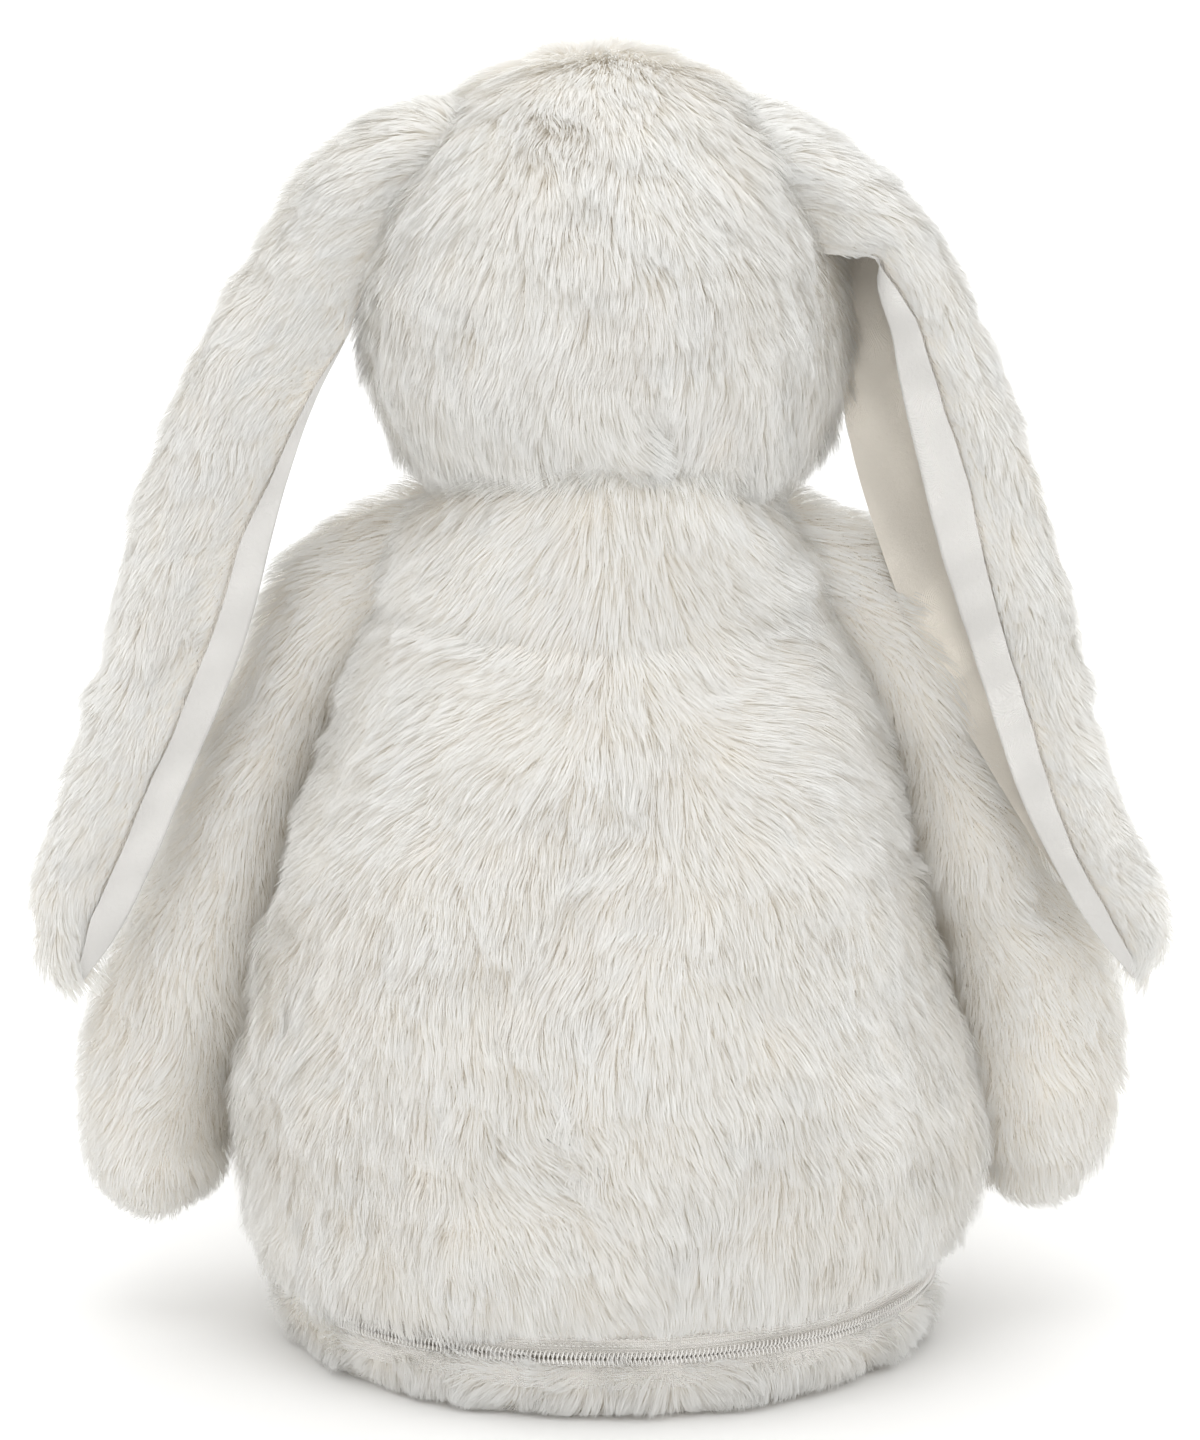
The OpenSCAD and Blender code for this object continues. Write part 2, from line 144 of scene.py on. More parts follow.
BODY_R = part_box("back_panel")[1].x
BODY_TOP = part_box("back_panel")[1].z
NECK_R = 0.057
WIDE_Z = 0.055
SEAM_Z = 0.020
SEAM_R = 0.101
LAP_Z = 0.0239
PILE_DEPTH = 0.0085
PILE_LENGTH = 0.0145
PILE_ROOT = (0.90, 0.87, 0.815)
PILE_TIP = (0.93, 0.945, 0.955)
PILE_WARM = (0.97, 0.94, 0.90)
THROUGH_HAIR = 0.5
# Painted light: the faint warm glow given to the hairs' roots, lifting the shade deep in the pile
PAINTED_ROOT_GLOW = (0.16, 0.145, 0.12)
BACKING_LIGHT = (0.88, 0.845, 0.79)
BACKING_DARK = (0.86, 0.81, 0.74)


class Value:
    """A socket in a material. Sums on it in Python add Math nodes."""

    def __init__(self, finish, socket):
        self.finish, self.socket = finish, socket

    def sum(self, operation, first, second):
        return self.finish.node("ShaderNodeMath", {"operation": operation}, {0: first, 1: second})

    def __add__(self, other):
        return self.sum("ADD", self, other)

    def __radd__(self, other):
        return self.sum("ADD", other, self)

    def __mul__(self, other):
        return self.sum("MULTIPLY", self, other)

    def __rmul__(self, other):
        return self.sum("MULTIPLY", other, self)


class Finish:
    """A material in the making, on one Principled shader."""

    def __init__(self, name, **plain):
        self.material = bpy.data.materials.new(name)
        self.material.use_nodes = True
        self.tree = self.material.node_tree
        self.shader = self.tree.nodes["Principled BSDF"]
        for socket, value in plain.items():
            self.shader.inputs[socket.replace("_", " ")].default_value = value

    def node(self, kind, settings=None, inputs=None, out=0):
        made = self.tree.nodes.new(kind)
        for name, value in (settings or {}).items():
            if name == "stops":
                while len(made.color_ramp.elements) < len(value):
                    made.color_ramp.elements.new(0.5)
                for element, (place, colour) in zip(made.color_ramp.elements, value):
                    element.position, element.color = place, (*colour, 1)
            else:
                setattr(made, name, value)
        for name, value in (inputs or {}).items():
            self.feed(made.inputs[name], value)
        return Value(self, made.outputs[out])

    def feed(self, socket, value):
        if isinstance(value, Value):
            self.tree.links.new(value.socket, socket)
        elif isinstance(value, tuple) and len(value) == 3 and len(socket.default_value) == 4:
            socket.default_value = (*value, 1)
        else:
            socket.default_value = value

    def mix(self, mask, first, second, blend="MIX"):
        made = self.tree.nodes.new("ShaderNodeMix")
        made.data_type, made.blend_type = "RGBA", blend
        for socket, value in ((0, mask), (6, first), (7, second)):
            self.feed(made.inputs[socket], value)
        return Value(self, made.outputs[2])

    def noise(self, scale, detail=3.0, roughness=0.5, stretch=(1, 1, 1)):
        where = self.node("ShaderNodeTexCoord", out="Object")
        where = self.node("ShaderNodeMapping", {}, {"Vector": where, "Scale": stretch})
        sockets = {"Vector": where, "Scale": scale, "Detail": detail, "Roughness": roughness}
        return self.node("ShaderNodeTexNoise", {}, sockets)

    def colour(self, value):
        self.feed(self.shader.inputs["Base Color"], value)
        return self

    def bump(self, height, depth, strength=1.0):
        sockets = {"Height": height, "Distance": depth, "Strength": strength}
        self.feed(self.shader.inputs["Normal"], self.node("ShaderNodeBump", {}, sockets))
        return self


def pile_finish(name, root, tip, warm):
    """Hair, darker and warmer at its root, with tufts that differ a little. Its UV map runs along
    the hair one way and over the tufts' tints the other way. Light comes through the hair too, and
    the roots glow faintly: painted light that lifts the shade deep in the pile."""
    made = Finish(name, Roughness=0.78, Specular_IOR_Level=0.25, Sheen_Weight=0.15, Sheen_Roughness=0.5,
                  Emission_Strength=1.0)
    along = made.node("ShaderNodeSeparateXYZ", {}, {0: made.node("ShaderNodeUVMap", {"uv_map": "OFBake"})})
    tint = Value(made, along.socket.node.outputs[1])
    half_way = tuple(0.3 * a + 0.7 * b for a, b in zip(root, tip))
    hair = made.node("ShaderNodeValToRGB", {"stops": [(0.0, root), (0.5, half_way), (0.85, tip)]}, {0: along})
    made.colour(made.mix(tint * 0.75, hair, made.mix(0.8, hair, warm, "MULTIPLY")))
    # Painted light: an emission glow over the root half of each hair, fading out along it
    deep = made.node("ShaderNodeValToRGB", {"stops": [(0.0, PAINTED_ROOT_GLOW), (0.6, (0, 0, 0))]}, {0: along})
    made.feed(made.shader.inputs["Emission Color"], deep)
    through = tuple(middle * (1 - 0.3 * (1 - dim)) for middle, dim in zip(half_way, warm))
    glow = made.node("ShaderNodeBsdfTranslucent", {}, {"Color": through})
    surface = Value(made, made.shader.outputs[0])
    both = made.node("ShaderNodeMixShader", {}, {0: THROUGH_HAIR, 1: surface, 2: glow})
    made.feed(made.tree.nodes["Material Output"].inputs["Surface"], both)
    return made.material


def backing_finish(name, light, dark):
    """The knitted backing, which shows as warm shade between the tufts."""
    made = Finish(name, Roughness=0.95)
    blotch = made.noise(60, 4)
    fuzz = made.noise(900, 3, 0.7, (1, 1, 0.3))
    return made.colour(made.mix(blotch, light, dark)).bump(fuzz, 0.002, 0.8).material


fur_pile = pile_finish("fur_pile", PILE_ROOT, PILE_TIP, PILE_WARM)
fur_backing = backing_finish("fur_backing", BACKING_LIGHT, BACKING_DARK)


def ripple(points, size, seed, waves=9):
    """A smooth random field, mostly within -1 to 1, that changes over `size` metres."""
    rng = np.random.default_rng(seed)
    wave = rng.normal(size=(waves, 3))
    pitch = 2 * math.pi / size * rng.uniform(0.5, 1.3, (waves, 1))
    wave *= pitch / np.linalg.norm(wave, axis=1, keepdims=True)
    return np.sin(points @ wave.T + rng.uniform(0, 2 * math.pi, waves)).sum(-1) / math.sqrt(waves)


def sway(points, size, seed):
    """Three such fields, as a direction."""
    return np.clip(np.stack([ripple(points, size, seed + k) for k in range(3)], -1), -1.1, 1.1)


def unit(vectors):
    return vectors / np.maximum(np.linalg.norm(vectors, axis=-1, keepdims=True), 1e-12)


def facing(grid, side=1):
    """Outward directions at each point of a grid of points."""
    out = np.cross(np.gradient(grid, axis=0), np.gradient(grid, axis=1))
    if np.allclose(grid[:, 0], grid[:, -1]):
        out[:, 0] = out[:, -1] = out[:, 0] + out[:, -1]
    length = np.linalg.norm(out, axis=-1).mean(1)
    if length[0] < 1e-3 * length.max():
        out[0] = out[1].mean(0)
    if length[-1] < 1e-3 * length.max():
        out[-1] = out[-2].mean(0)
    return side * unit(out)


def fabric_area(grid):
    """The area of each cell of a grid of points."""
    return np.linalg.norm(np.cross(grid[1:, 1:] - grid[:-1, :-1], grid[1:, :-1] - grid[:-1, 1:]), axis=-1) / 2


def place(name, mesh, finish):
    """A new piece of that mesh, smooth all over."""
    mesh.polygons.foreach_set("use_smooth", np.ones(len(mesh.polygons), bool))
    mesh.materials.append(finish)
    piece = bpy.data.objects.new(name, mesh)
    scene.collection.objects.link(piece)
    return piece


def weld(mesh, reach=2e-5):
    """Joins corners that lie together."""
    shape = bmesh.new()
    shape.from_mesh(mesh)
    bmesh.ops.remove_doubles(shape, verts=shape.verts, dist=reach)
    shape.to_mesh(mesh)
    shape.free()


def cloth(name, grid, finish, side=1):
    """A sheet of fabric through a grid of points. Columns that meet are joined, and so are rows at
    a pole."""
    rows, columns = grid.shape[:2]
    corner = np.arange(rows * columns).reshape(rows, columns)
    quads = np.stack([corner[:-1, :-1], corner[1:, :-1], corner[1:, 1:], corner[:-1, 1:]], -1).reshape(-1, 4)
    quads = quads if side > 0 else quads[:, ::-1]
    mesh = bpy.data.meshes.new(name)
    mesh.from_pydata(grid.reshape(-1, 3).tolist(), [], quads.tolist())
    share = np.stack(np.meshgrid(np.linspace(0, 1, columns), np.linspace(0, 1, rows)), -1).reshape(-1, 2)
    mesh.uv_layers.new(name="UVMap").data.foreach_set("uv", share[quads.ravel()].astype(np.float32).ravel())
    weld(mesh)
    return place(name, mesh, finish)


def scatter(grid, out, count, seed):
    """Random places on a grid, even over its area: points, outward directions, and row and column
    shares."""
    rng = np.random.default_rng(seed)
    count = count
    area = fabric_area(grid)
    cell = rng.choice(area.size, count, p=(area / area.sum()).ravel())
    row, column = np.divmod(cell, area.shape[1])
    a, b = rng.random((2, count, 1))

    def at(field):
        low = field[row, column] * (1 - b) + field[row, column + 1] * b
        high = field[row + 1, column] * (1 - b) + field[row + 1, column + 1] * b
        return low * (1 - a) + high * a

    return at(grid), unit(at(out)), (row + a[:, 0]) / area.shape[0], (column + b[:, 0]) / area.shape[1]


HAIR_WIDTH = 0.0003
TUFT_SIZE = 0.0036
TUFT_GATHER = 0.42
PILE_LIFT = (46, 9)
LEAST_LIFT = ([12], [3])


def pile(name, roots, out, comb, length, seed, parts=1, tuft=TUFT_SIZE, lift=PILE_LIFT):
    """Strands of fur as thin tapered ribbons. `comb` is which way they lie, and `lift` is how far they
    stand off the cloth at the root and at the tip, in degrees. Tips draw together into tufts. A large
    panel's pile is shared between several pieces, side by side."""
    rng = np.random.default_rng(seed)
    count = len(roots)
    broad, fine, stray = 0.34, 0.24, 0.12
    flat = comb + broad * sway(roots, 0.05, seed + 11) + fine * sway(roots, 0.014, seed + 21)
    flat = flat + stray * rng.normal(size=(count, 3))
    flat = unit(flat - (flat * out).sum(-1, keepdims=True) * out)
    layered = 7 * ripple(roots * (0.5, 0.5, 1.4), 0.02, seed + 31)
    raised = np.stack([end * np.ones(count) for end in lift]) + layered
    raised = np.radians(np.maximum(raised + rng.normal(0, 5, count), LEAST_LIFT))
    start = out * np.sin(raised[0])[:, None] + flat * np.cos(raised[0])[:, None]
    end = out * np.sin(raised[1])[:, None] + flat * np.cos(raised[1])[:, None]
    uneven = 1 + 0.14 * ripple(roots, 0.016, seed + 41)
    length = (length * uneven * rng.uniform(0.8, 1.12, count))[:, None]
    steps = np.array([0, 1 / 3, 2 / 3, 1])
    spine = np.stack([roots + length * (start * (s - s * s / 2) + end * s * s / 2) for s in steps], 1)
    for size, pull in ((tuft, TUFT_GATHER), (2.6 * tuft, 0.5 * TUFT_GATHER)):
        wavy = roots + 0.35 * size * sway(roots, 3 * size, seed + 51)
        cell = np.floor(wavy / size + rng.random(3)).astype(np.int64)
        _, member = np.unique(cell @ np.array([73856093, 19349663, 83492791]), return_inverse=True)
        members = np.bincount(member)[:, None]
        for k, s in enumerate(steps[1:], 1):
            middle = np.stack([np.bincount(member, spine[:, k, axis]) for axis in range(3)], -1) / members
            spine[:, k] += pull * s ** 1.5 * (middle[member] - spine[:, k])
    spine[:, 1:] += rng.normal(0, 0.00022, (count, 3, 3)) * steps[1:, None]
    spine[:, 1:, 2] = np.maximum(spine[:, 1:, 2], 0.0008)
    across = unit(np.cross(end + start, out) + 0.28 * rng.normal(size=(count, 3)))
    taper = np.array([1.0, 0.95, 0.7])[:, None]
    half = 0.5 * HAIR_WIDTH * rng.uniform(0.75, 1.25, (count, 1, 1)) * taper
    points = np.empty((count, 7, 3))
    points[:, 0:6:2] = spine[:, :3] - across[:, None] * half
    points[:, 1:6:2] = spine[:, :3] + across[:, None] * half
    points[:, 6] = spine[:, 3]
    tint = 0.5 + 0.2 * ripple(roots, 0.03, seed + 61) + rng.normal(0, 0.08, count)
    tint = 0.03 + 0.94 * np.clip(tint, 0, 1)[:, None]
    uv = np.empty((count, 7, 2))
    uv[:, :, 0] = (0.03, 0.03, 0.34, 0.34, 0.66, 0.66, 0.97)
    uv[:, :, 1] = tint + np.array([-1, 1, -1, 1, -1, 1, 0]) * 0.0016
    soft = unit(out + 0.35 * unit(np.cross(across, spine[:, 3] - spine[:, 0])))
    soft = np.repeat(soft[:, None], 7, axis=1)
    shares = np.array_split(np.argsort(roots[:, 0]), parts)
    return [ribbons(f"{name}_{k + 1}", points[i], uv[i], soft[i]) for k, i in enumerate(shares)]


def ribbons(name, points, uv, normals):
    """One mesh of seven-point ribbons, each two quads and a tip, shaded softly like the cloth
    below."""
    count = len(points)
    corners = np.array([0, 1, 3, 2, 2, 3, 5, 4, 4, 5, 6])
    loops = (7 * np.arange(count)[:, None] + corners).ravel()
    mesh = bpy.data.meshes.new(name)
    mesh.vertices.add(7 * count)
    mesh.vertices.foreach_set("co", points.astype(np.float32).ravel())
    mesh.loops.add(len(loops))
    mesh.loops.foreach_set("vertex_index", loops.astype(np.int32))
    mesh.polygons.add(3 * count)
    starts = (len(corners) * np.arange(count)[:, None] + np.array([0, 4, 8])).ravel()
    mesh.polygons.foreach_set("loop_start", starts.astype(np.int32))
    mesh.update(calc_edges=True)
    mesh.uv_layers.new(name="OFBake").data.foreach_set("uv", uv[:, corners].astype(np.float32).ravel())
    soft = mesh.attributes.new("custom_normal", "FLOAT_VECTOR", "POINT")
    soft.data.foreach_set("vector", normals.astype(np.float32).ravel())
    return place(name, mesh, fur_pile)


def body_radius(z):
    """The body's outline: drawn in to the base's seam below, sloping up to the neck above."""
    low = SEAM_R + (BODY_R - SEAM_R) * np.sqrt(1 - np.clip((WIDE_Z - z) / (WIDE_Z - LAP_Z), 0, 1) ** 2)
    high = NECK_R + (BODY_R - NECK_R) * (1 - ((z - WIDE_Z) / (BODY_TOP - WIDE_Z)) ** 2)
    return np.where(z < WIDE_Z, low, high)


def turned(profile, bearings):
    """A grid turned about the upright axis from a profile of (radius, height) rows."""
    radius, height = np.asarray(profile).T
    around = np.radians(bearings)
    x, y = radius[:, None] * np.cos(around), radius[:, None] * np.sin(around)
    return np.stack([x, y, np.broadcast_to(height[:, None], x.shape)], -1)


def smooth_line(points, count):
    """A smooth curve through given points."""
    points = np.asarray(points, float)
    at = np.concatenate([[0], np.cumsum(np.linalg.norm(np.diff(points[:, :3], axis=0), axis=1))])
    at = at / at[-1]
    slope = np.gradient(points, at, axis=0)
    t = np.linspace(0, 1, count)
    k = np.clip(np.searchsorted(at, t, side="right") - 1, 0, len(at) - 2)
    step = (at[k + 1] - at[k])[:, None]
    u = ((t - at[k]) / step[:, 0])[:, None]
    leave = (2 * u**3 - 3 * u**2 + 1) * points[k] + (u**3 - 2 * u**2 + u) * (slope[k] * step)
    return leave + (3 * u**2 - 2 * u**3) * points[k + 1] + (u**3 - u**2) * (slope[k + 1] * step)


# Millimetres out and up: the stuffed hump behind the neck, which rides up over the head's underside
HUMP = [(62.6, 230), (62.2, 240), (62, 250), (61.5, 260), (60, 270), (56.5, 278), (49, 283)]


def body_skin(inset, bearings):
    """The body's cloth as a grid: round at the shoulders in front, humped up behind the neck."""
    side = [(body_radius(z) - inset * np.interp(z, (0.18, 0.235), (1, 0.25)), z)
            for z in np.linspace(0.0245, 0.228, 56)]
    shoulder = [(0.034 + (side[-1][0] - 0.034) * math.cos(a), 0.231 + 0.023 * math.sin(a))
                for a in np.radians(np.linspace(0, 90, 16))]
    front = turned(side + shoulder, bearings)
    back = turned(np.vstack([side, smooth_line(HUMP, 16) / 1000]), bearings)
    behind = np.clip(np.sin(np.radians(bearings)) * 1.1, 0, 1)[None, :, None]
    return front * (1 - behind) + back * behind


def zip_shows(bearing):
    """1 where the fur leaves the zip bare, 0 where it falls over it."""
    return np.clip((bearing - 62) / 14, 0, 1) * np.clip((176 - bearing) / 12, 0, 1)


def down_and_out(points, spread):
    """Combed down, and away from the middle of the back or front."""
    comb = np.zeros_like(points)
    comb[:, 2] = -1
    comb[:, 0] = spread * points[:, 0] / 0.1
    return comb


# Bearings of the two side seams in degrees, strands of pile, pieces that the pile is shared between
BODY_PANELS = {"back_panel": (0, 180, 114000, 3), "tummy_panel": (180, 360, 60000, 2)}
for panel, (first, last, count, parts) in BODY_PANELS.items():
    bearings = np.linspace(first, last, 91)
    grid = body_skin(PILE_DEPTH, bearings)
    out = facing(grid, -1)
    plump = 0.0028 * ripple(grid, 0.085, 5) + 0.0012 * ripple(grid, 0.035, 6)
    edge = np.minimum(bearings - first, last - bearings)
    fade = np.clip((grid[..., 2] - 0.028) / 0.03, 0, 1)
    grid = grid + out * (fade * plump - 0.0025 * np.exp(-(edge / 3.0) ** 2))[..., None]
    skin = cloth(panel + "_cloth", grid, fur_backing, -1)
    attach(skin, "body")
    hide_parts(panel)
    roots, normals, _, _ = scatter(grid, out, count, 100 + first)
    bearing = np.degrees(np.arctan2(roots[:, 1], roots[:, 0])) % 360
    high = np.clip((roots[:, 2] - 0.15) / 0.05, 0, 1)
    comb = down_and_out(roots, 0.12 + 1.5 * high) + 0.35 * sway(roots, 0.13, 8)
    shows = zip_shows(bearing)
    trimmed = np.clip((roots[:, 2] - 0.0265) / 0.9, 0.0022, PILE_LENGTH)
    length = PILE_LENGTH * (1 - shows) + shows * trimmed
    for fur in pile(panel + "_fur", roots, normals, comb, length, 200 + first, parts):
        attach(fur, "body")

# ---- Base ----
# A dished round of the same fur that closes the body from below. Its rim is sewn on at the front,
# and the zip joins it round the back; the underside is pressed flat.

BASE_FLAT_R = 0.088
BASE_FLAT_Z = 0.001
RIM_DEPTH = 0.006
RIM_Z, RIM_RISE = 0.0196, 0.0186
LIP = ((0.0006, 0.0195), (0.0022, 0.0223))


def base_profile(inset):
    """Rows from the middle of the underside out and round the rim, to a lip that goes up behind the
    body's edge."""
    flat = [(r * BASE_FLAT_R, BASE_FLAT_Z) for r in np.linspace(0, 0.98, 12)]
    rim = [(BASE_FLAT_R + (SEAM_R - BASE_FLAT_R - inset) * math.cos(a), RIM_Z + RIM_RISE * math.sin(a))
           for a in np.radians(np.linspace(-90, -9, 16))]
    return flat + rim + [(rim[-1][0] - back, z) for back, z in LIP]


base_grid = turned(base_profile(RIM_DEPTH), np.linspace(0, 360, 181))
base_out = facing(base_grid, -1)
base_skin = cloth("base_panel_cloth", base_grid, fur_backing, -1)
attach(base_skin, "base")
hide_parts("base_panel")

rim, underside = slice(13, -len(LIP)), slice(0, 13)
roots, normals, _, _ = scatter(base_grid[rim], base_out[rim], 32000, 310)
brim = np.clip((roots[:, 2] - 0.0115) / 0.005, 0, 1)
comb = unit(roots * (1, 1, 0)) * 0.6 + np.outer(1.1 * brim - 0.8, (0, 0, 1))
length = 0.0045 + 0.0085 * np.clip(roots[:, 2] / 0.014, 0.1, 1)
base_furs = pile("base_rim_fur", roots, normals, comb, length, 311, lift=(52 + 14 * brim, 22 + 6 * brim))

roots, normals, _, _ = scatter(base_grid[underside], base_out[underside], 9000, 320)
comb = unit(roots * (1, 1, 0) + 1e-6) + 0.6 * sway(roots, 0.05, 7)
base_furs += pile("base_underside_fur", roots, normals, comb, 0.008, 321, lift=(8, 0))
for fur in base_furs:
    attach(fur, "base")

# ---- Head cover ----
# A back panel, two face panels and a forehead gusset of the same fur, sewn into a ball over the
# second fibre bag. The long pile falls back and down; on the face it's clipped short.

HEAD_EDGE_R = 0.053
HEAD_EDGE_Z = 0.258
HEAD_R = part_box("head_back_panel")[1].x
HEAD_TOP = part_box("head_back_panel")[1].z
HEAD_WIDE_Z = HEAD_EDGE_Z + 0.42 * (HEAD_TOP - HEAD_EDGE_Z)
EYE_TURN = 22
EYE_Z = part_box("left_eye")[0].z / 2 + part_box("left_eye")[1].z / 2
CROWN = np.array([0, -0.05, HEAD_TOP + 0.004])
HEAD_HAIR = 0.0150
FACE_HAIR_SHORTER = 0.0075


def head_profile(inset):
    """Rows of (radius, height) from the edge of the neck's hole, round the cheeks, to the crown."""
    under = [(0.030, HEAD_EDGE_Z - 0.005), (0.040, HEAD_EDGE_Z - 0.005), (0.048, HEAD_EDGE_Z - 0.003)]
    low = [(HEAD_EDGE_R - inset * (0.2 + 0.8 * t) + (HEAD_R - HEAD_EDGE_R) * math.sin(math.pi / 2 * t),
            HEAD_EDGE_Z + (HEAD_WIDE_Z - HEAD_EDGE_Z) * t) for t in np.linspace(0, 1, 22)]
    dome = HEAD_TOP - 0.8 * inset - HEAD_WIDE_Z
    high = [((HEAD_R - inset) * math.cos(a), HEAD_WIDE_Z + dome * math.sin(a))
            for a in np.radians(np.linspace(3, 90, 30))]
    return under + low + high


def near_eye(points, reach):
    """1 at an eye, falling to 0 at `reach` from it."""
    turn = math.radians(EYE_TURN)
    aside, ahead = HEAD_R * math.sin(turn), HEAD_R * math.cos(turn)
    eyes = [np.array([side * aside, -ahead, EYE_Z]) for side in (1, -1)]
    far = np.minimum(*[np.linalg.norm(points - eye, axis=-1) for eye in eyes])
    return np.clip(1 - far / reach, 0, 1)


def face_share(points):
    """1 on the middle of the face, 0 behind the ears."""
    return np.clip((-points[..., 1] - 0.012) / 0.035, 0, 1)


# As for the body: bearings of the seams, strands, pieces
HEAD_PANELS = {
    "head_back_panel": (0, 180, 72000, 2),
    "left_face_panel": (270, 360, 24000, 1),
    "right_face_panel": (180, 270, 24000, 1),
}
for panel, (first, last, count, parts) in HEAD_PANELS.items():
    bearings = np.linspace(first, last, 61 * parts - parts + 1)
    grid = turned(head_profile(PILE_DEPTH), bearings)
    behind = np.clip(np.sin(np.radians(bearings)), 0, 1)
    grid[..., 2] += 0.012 * behind * np.clip((0.305 - grid[..., 2]) / 0.045, 0, 1)
    out = facing(grid, -1)
    swell = 0.0026 * face_share(grid) + 0.0016 * ripple(grid, 0.07, 15) + 0.001 * near_eye(grid, 0.02)
    sunk = 0.0022 * np.exp(-((np.abs(grid[..., 0]) - 0.019) / 0.0022) ** 2) * (grid[..., 2] > 0.345)
    grid = grid + out * (swell - sunk * (parts == 1))[..., None]
    skin = cloth(panel + "_cloth", grid, fur_backing, -1)
    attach(skin, "head")
    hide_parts(*([panel, "forehead_gusset"] if panel == "left_face_panel" else [panel]))
    roots, normals, _, _ = scatter(grid, out, count, 400 + first)
    clear = near_eye(roots, 0.016)
    keep = (clear < 0.5) & (roots[:, 2] > HEAD_EDGE_Z - 0.004)
    roots, normals, clear = roots[keep], normals[keep], clear[keep]
    beside = 3 + 13 * np.clip((roots[:, 2] - 0.345) / 0.02, 0, 1)
    comb = unit(roots - CROWN) + np.array([0, 0, -0.35]) + np.outer(beside * roots[:, 0], (1, 0, 0))
    length = (HEAD_HAIR - FACE_HAIR_SHORTER * face_share(roots)) * (1 - 0.7 * np.clip(2 * clear, 0, 1))
    length = length * (1 - 0.5 * np.clip((0.283 - roots[:, 2]) / 0.015, 0, 1))
    crown = np.clip((roots[:, 2] - 0.360) / 0.03, 0, 1)
    lift = (46 - 22 * crown, 10 - 4 * crown)
    for fur in pile(panel + "_fur", roots, normals, comb, length, 420 + first, parts, lift=lift):
        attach(fur, "head")

# ---- Neck ----
# The seam between head and body, with its stay tape sewn inside. The fur turns in here.

neck_path = smooth_line([(53, 232), (52, 240), (50, 247), (48, 253), (46, 259), (44, 266)], 20) / 1000
neck_grid = turned(neck_path, np.linspace(0, 360, 97))
neck_out = facing(neck_grid, -1)
neck_cloth = cloth("neck_seam_cloth", neck_grid, fur_backing, -1)
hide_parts("neck_seam_tape")
roots, normals, _, _ = scatter(neck_grid, neck_out, 16000, 500)
comb = unit(roots * (1, 1, 0)) * 0.4 + down_and_out(roots, 0.4)
neck_furs = pile("neck_seam_fur", roots, normals, comb, 0.011, 501)
for piece in (neck_cloth, *neck_furs):
    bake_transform(piece)

# ---- Face ----
# A rounded muzzle of clipped fur, a nose and mouth in satin stitch with thick thread, and two
# polished safety eyes whose stems pass through the face into lock washers.

MUZZLE_LOW, MUZZLE_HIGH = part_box("muzzle")
MUZZLE_R = (MUZZLE_HIGH.x - MUZZLE_LOW.x) / 2
MUZZLE_AT = np.array([0, MUZZLE_LOW.y + MUZZLE_R, (MUZZLE_LOW.z + MUZZLE_HIGH.z) / 2])
MUZZLE_PILE = 0.0035
NOSE_TURN = 24
THREAD_R = 0.0009


def on_muzzle(across, up, radius):
    """A point over the muzzle: angles across and up from straight ahead, in degrees."""
    across, up = np.radians(across), np.radians(up)
    ahead = np.stack([np.sin(across) * np.cos(up), -np.cos(across) * np.cos(up), np.sin(up)], -1)
    return MUZZLE_AT + np.asarray(radius)[..., None] * ahead


bend = np.radians(np.linspace(0, 100, 26))[:, None]
spin = np.radians(np.linspace(0, 360, 65))[None, :]
aside = np.sin(bend) * np.cos(spin)
ahead = np.stack([aside, -np.cos(bend) * np.ones_like(spin), np.sin(bend) * np.sin(spin)], -1)
cleft = np.exp(-(aside / 0.12) ** 2) * (ahead[..., 2] < 0.2)
cheeks = 1 + 0.05 * np.abs(aside) - 0.05 * cleft
muzzle_grid = MUZZLE_AT + (MUZZLE_R - MUZZLE_PILE) * cheeks[..., None] * ahead
muzzle_out = facing(muzzle_grid, 1)
muzzle_out = muzzle_out * np.sign((muzzle_out * (muzzle_grid - MUZZLE_AT)).sum(-1, keepdims=True))
muzzle_cloth = cloth("muzzle_cloth", muzzle_grid, fur_backing, 1)
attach(muzzle_cloth, "head")
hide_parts("muzzle")
roots, normals, _, _ = scatter(muzzle_grid, muzzle_out, 16000, 600)
nose_at = on_muzzle(0, NOSE_TURN, np.array(MUZZLE_R))
off_nose = np.linalg.norm((roots - nose_at) * (0.75, 1, 1.3), axis=1)
comb = unit(roots - nose_at) + np.array([0, 0.35, -0.25])
length = 0.0042 + 0.0028 * np.clip((off_nose - 0.012) / 0.02, 0, 1)
keep = off_nose > 0.0085
roots, normals, comb, length = roots[keep], normals[keep], comb[keep], length[keep]
for fur in pile("muzzle_fur", roots, normals, comb, length, 601, lift=(46, 16), tuft=0.003):
    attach(fur, "head")

satin = Finish("satin_thread", Roughness=0.42, Sheen_Weight=0.3)
twist = satin.node("ShaderNodeTexNoise", {}, {"Scale": 900.0, "Detail": 2.0})
satin.colour(satin.mix(twist, (0.62, 0.40, 0.37), (0.74, 0.52, 0.48))).bump(twist, 0.0003, 0.6)


